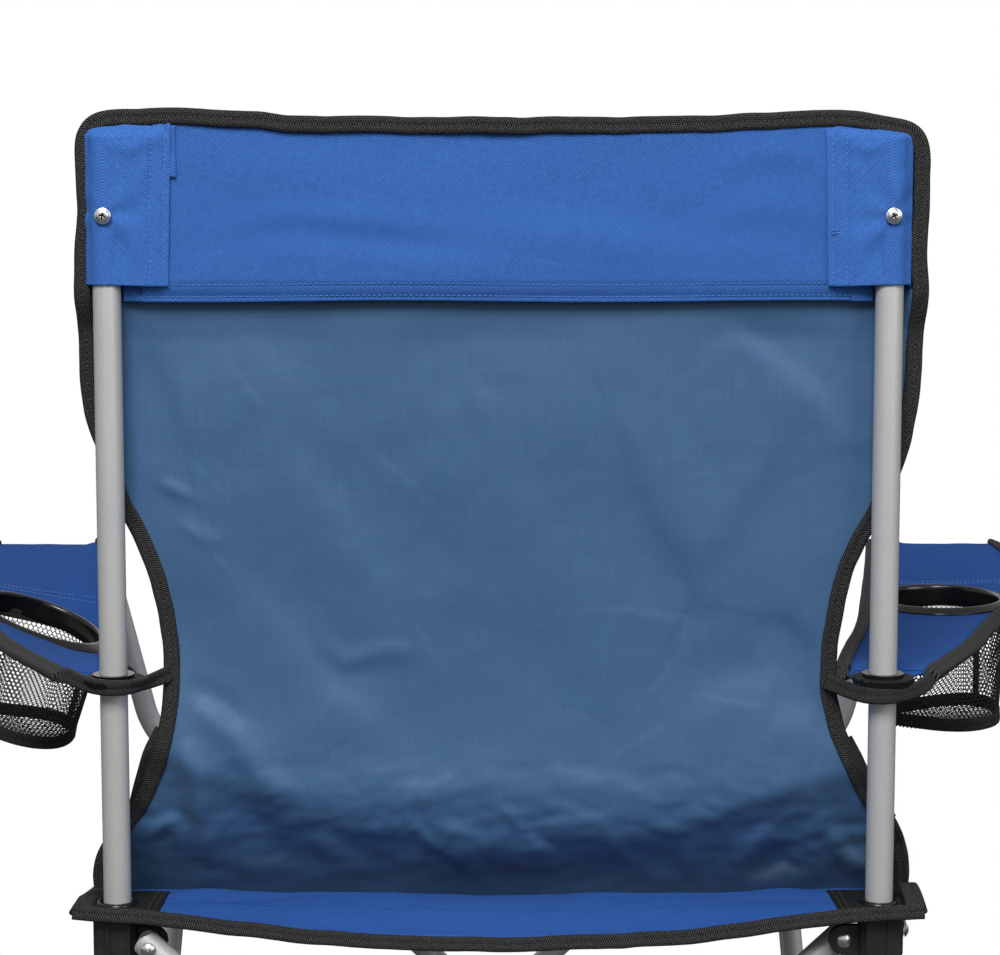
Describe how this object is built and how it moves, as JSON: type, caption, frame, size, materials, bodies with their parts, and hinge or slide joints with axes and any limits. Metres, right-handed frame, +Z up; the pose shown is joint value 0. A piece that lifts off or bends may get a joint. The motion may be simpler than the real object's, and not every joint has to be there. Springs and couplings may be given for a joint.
{
  "type": "folding camp chair",
  "caption": "Folding fabric camp chair on a four-sided scissor frame, with a tall back, fabric armrests and hanging net cup holders.",
  "frame": {"origin": "on the floor, at the centre of the four legs", "axes": "+Z up, the sitter faces -Y, the sitter's left is +X"},
  "size_m": [0.77, 0.488, 0.888],
  "materials": {
    "frame_grey": "satin silver-grey powder coat",
    "black_plastic": "moulded, fine grain",
    "gloss_black": "glossy moulding",
    "rivet_steel": "bright domed rivet",
    "screw_chrome": "bright plated",
    "blue_canvas": "twill-woven polyester",
    "coated_fabric": "satin coated reverse of polyester",
    "black_binding": "ribbed tape",
    "black_net": "open knitted net"
  },
  "bodies": {
    "rear_left_post": {"rear_post_left": "frame_grey", "post_cap_left": "black_plastic", "foot_rear_left": "black_plastic", "foot_rivets_rear_left": "rivet_steel", "header_pocket_left": "blue_canvas", "pocket_screw_left": "screw_chrome", "back_panel": "coated_fabric", "back_header": "blue_canvas", "back_binding": "black_binding"},
    "rear_right_post": {"rear_post_right": "frame_grey", "post_cap_right": "black_plastic", "foot_rear_right": "black_plastic", "foot_rivets_rear_right": "rivet_steel", "header_pocket_right": "blue_canvas", "pocket_screw_right": "screw_chrome"},
    "front_left_foot": {"foot_front_left": "black_plastic", "foot_rivets_front_left": "rivet_steel"},
    "front_right_foot": {"foot_front_right": "black_plastic", "foot_rivets_front_right": "rivet_steel"},
    "rear_left_hub": {"hub_rear_left": "black_plastic", "hub_rivets_rear_left": "rivet_steel", "seat_grommet_rear_left": "gloss_black", "arm_eyelet_left": "gloss_black", "seat_hem_rear": "blue_canvas"},
    "rear_right_hub": {"hub_rear_right": "black_plastic", "hub_rivets_rear_right": "rivet_steel", "seat_grommet_rear_right": "gloss_black", "arm_eyelet_right": "gloss_black"},
    "front_left_hub": {"hub_front_left": "black_plastic", "hub_rivets_front_left": "rivet_steel", "seat_grommet_front_left": "gloss_black", "arm_post_left": "frame_grey", "seat_hem_front": "blue_canvas"},
    "front_right_hub": {"hub_front_right": "black_plastic", "hub_rivets_front_right": "rivet_steel", "seat_grommet_front_right": "gloss_black", "arm_post_right": "frame_grey"},
    "cross_rear_a": {"cross_tube_rear_a": "frame_grey", "cross_rivet_rear": "rivet_steel"},
    "cross_rear_b": {"cross_tube_rear_b": "frame_grey"},
    "cross_right_a": {"cross_tube_right_a": "frame_grey", "cross_rivet_right": "rivet_steel"},
    "cross_right_b": {"cross_tube_right_b": "frame_grey"},
    "cross_front_a": {"cross_tube_front_a": "frame_grey", "cross_rivet_front": "rivet_steel"},
    "cross_front_b": {"cross_tube_front_b": "frame_grey"},
    "cross_left_a": {"cross_tube_left_a": "frame_grey", "cross_rivet_left": "rivet_steel"},
    "cross_left_b": {"cross_tube_left_b": "frame_grey"},
    "seat_rear_flap": {"seat_rear": "blue_canvas"},
    "seat_front_flap": {"seat_front": "blue_canvas"},
    "armrest_rear_left_flap": {"armrest_rear_left": "blue_canvas"},
    "armrest_front_left_flap": {"armrest_front_left": "blue_canvas", "cup_ring_left": "gloss_black", "cup_pocket_left": "black_net"},
    "armrest_rear_right_flap": {"armrest_rear_right": "blue_canvas"},
    "armrest_front_right_flap": {"armrest_front_right": "blue_canvas", "cup_ring_right": "gloss_black", "cup_pocket_right": "black_net"}
  },
  "joints": [
    {"name": "fold", "type": "hinge", "parent": "rear_left_post", "child": "cross_rear_a", "pos_m": [0.202, 0.2112, 0.028], "axis": [0, 1, 0], "range_deg": [0, 43.7], "deforming": ["back_panel", "back_header", "back_binding", "seat_hem_rear", "seat_hem_front", "seat_rear", "seat_front", "armrest_rear_left", "armrest_rear_right", "armrest_front_left", "armrest_front_right", "cup_pocket_left", "cup_pocket_right"]},
    {"name": "rear_cross_pivot", "type": "hinge", "parent": "cross_rear_a", "child": "cross_rear_b", "pos_m": [0, 0.222, 0.2175], "axis": [0, -1, 0], "range_deg": [0, 87.4]},
    {"name": "rear_right_foot_pivot", "type": "hinge", "parent": "cross_rear_b", "child": "rear_right_post", "pos_m": [-0.202, 0.2328, 0.028], "axis": [0, 1, 0], "range_deg": [0, 43.7]},
    {"name": "rear_left_hub_pivot", "type": "hinge", "parent": "cross_rear_b", "child": "rear_left_hub", "pos_m": [0.202, 0.2328, 0.407], "axis": [0, 1, 0], "range_deg": [0, 43.7]},
    {"name": "rear_right_hub_pivot", "type": "hinge", "parent": "cross_rear_a", "child": "rear_right_hub", "pos_m": [-0.202, 0.2112, 0.407], "axis": [0, -1, 0], "range_deg": [0, 43.7]},
    {"name": "left_foot_pivot", "type": "hinge", "parent": "rear_left_post", "child": "cross_left_b", "pos_m": [0.2328, 0.202, 0.028], "axis": [-1, 0, 0], "range_deg": [0, 43.7]},
    {"name": "left_cross_pivot", "type": "hinge", "parent": "cross_left_b", "child": "cross_left_a", "pos_m": [0.222, 0, 0.2175], "axis": [1, 0, 0], "range_deg": [0, 87.4]},
    {"name": "front_left_foot_pivot", "type": "hinge", "parent": "cross_left_a", "child": "front_left_foot", "pos_m": [0.2112, -0.202, 0.028], "axis": [-1, 0, 0], "range_deg": [0, 43.7]},
    {"name": "front_left_hub_pivot", "type": "hinge", "parent": "cross_left_b", "child": "front_left_hub", "pos_m": [0.2328, -0.202, 0.407], "axis": [1, 0, 0], "range_deg": [0, 43.7]},
    {"name": "right_foot_pivot", "type": "hinge", "parent": "rear_right_post", "child": "cross_right_a", "pos_m": [-0.2112, 0.202, 0.028], "axis": [-1, 0, 0], "range_deg": [0, 43.7]},
    {"name": "right_cross_pivot", "type": "hinge", "parent": "cross_right_a", "child": "cross_right_b", "pos_m": [-0.222, 0, 0.2175], "axis": [1, 0, 0], "range_deg": [0, 87.4]},
    {"name": "front_right_foot_pivot", "type": "hinge", "parent": "cross_right_b", "child": "front_right_foot", "pos_m": [-0.2328, -0.202, 0.028], "axis": [-1, 0, 0], "range_deg": [0, 43.7]},
    {"name": "front_right_hub_pivot", "type": "hinge", "parent": "cross_right_a", "child": "front_right_hub", "pos_m": [-0.2112, -0.202, 0.407], "axis": [1, 0, 0], "range_deg": [0, 43.7]},
    {"name": "front_foot_pivot", "type": "hinge", "parent": "front_left_foot", "child": "cross_front_b", "pos_m": [0.202, -0.2328, 0.028], "axis": [0, 1, 0], "range_deg": [0, 43.7]},
    {"name": "front_cross_pivot", "type": "hinge", "parent": "cross_front_b", "child": "cross_front_a", "pos_m": [0, -0.222, 0.2175], "axis": [0, -1, 0], "range_deg": [0, 87.4]},
    {"name": "seat_rear_fold", "type": "hinge", "parent": "rear_left_hub", "child": "seat_rear_flap", "pos_m": [0, 0.205, 0.426], "axis": [1, 0, 0], "range_deg": [0, 80]},
    {"name": "seat_front_fold", "type": "hinge", "parent": "front_left_hub", "child": "seat_front_flap", "pos_m": [0, -0.205, 0.426], "axis": [-1, 0, 0], "range_deg": [0, 80]},
    {"name": "armrest_rear_left_fold", "type": "hinge", "parent": "rear_left_hub", "child": "armrest_rear_left_flap", "pos_m": [0.222, 0.202, 0.561], "axis": [1, 0, 0], "range_deg": [0, 83.6]},
    {"name": "armrest_front_left_fold", "type": "hinge", "parent": "front_left_hub", "child": "armrest_front_left_flap", "pos_m": [0.296, -0.222, 0.581], "axis": [-1, 0, 0], "range_deg": [0, 76.2]},
    {"name": "armrest_rear_right_fold", "type": "hinge", "parent": "rear_right_hub", "child": "armrest_rear_right_flap", "pos_m": [-0.222, 0.202, 0.561], "axis": [1, 0, 0], "range_deg": [0, 83.6]},
    {"name": "armrest_front_right_fold", "type": "hinge", "parent": "front_right_hub", "child": "armrest_front_right_flap", "pos_m": [-0.296, -0.222, 0.581], "axis": [-1, 0, 0], "range_deg": [0, 76.2]}
  ],
  "couplings": [
    {"joint": "rear_cross_pivot", "follows": "fold", "ratio": 2},
    {"joint": "rear_right_foot_pivot", "follows": "fold", "ratio": 1},
    {"joint": "rear_left_hub_pivot", "follows": "fold", "ratio": 1},
    {"joint": "rear_right_hub_pivot", "follows": "fold", "ratio": 1},
    {"joint": "left_foot_pivot", "follows": "fold", "ratio": 1},
    {"joint": "left_cross_pivot", "follows": "fold", "ratio": 2},
    {"joint": "front_left_foot_pivot", "follows": "fold", "ratio": 1},
    {"joint": "front_left_hub_pivot", "follows": "fold", "ratio": 1},
    {"joint": "right_foot_pivot", "follows": "fold", "ratio": 1},
    {"joint": "right_cross_pivot", "follows": "fold", "ratio": 2},
    {"joint": "front_right_foot_pivot", "follows": "fold", "ratio": 1},
    {"joint": "front_right_hub_pivot", "follows": "fold", "ratio": 1},
    {"joint": "front_foot_pivot", "follows": "fold", "ratio": 1},
    {"joint": "front_cross_pivot", "follows": "fold", "ratio": 2},
    {"joint": "seat_rear_fold", "follows": "fold", "ratio": 1.8285},
    {"joint": "seat_front_fold", "follows": "fold", "ratio": 1.8285},
    {"joint": "armrest_rear_left_fold", "follows": "fold", "ratio": 1.913},
    {"joint": "armrest_front_left_fold", "follows": "fold", "ratio": 1.743},
    {"joint": "armrest_rear_right_fold", "follows": "fold", "ratio": 1.913},
    {"joint": "armrest_front_right_fold", "follows": "fold", "ratio": 1.743}
  ]
}
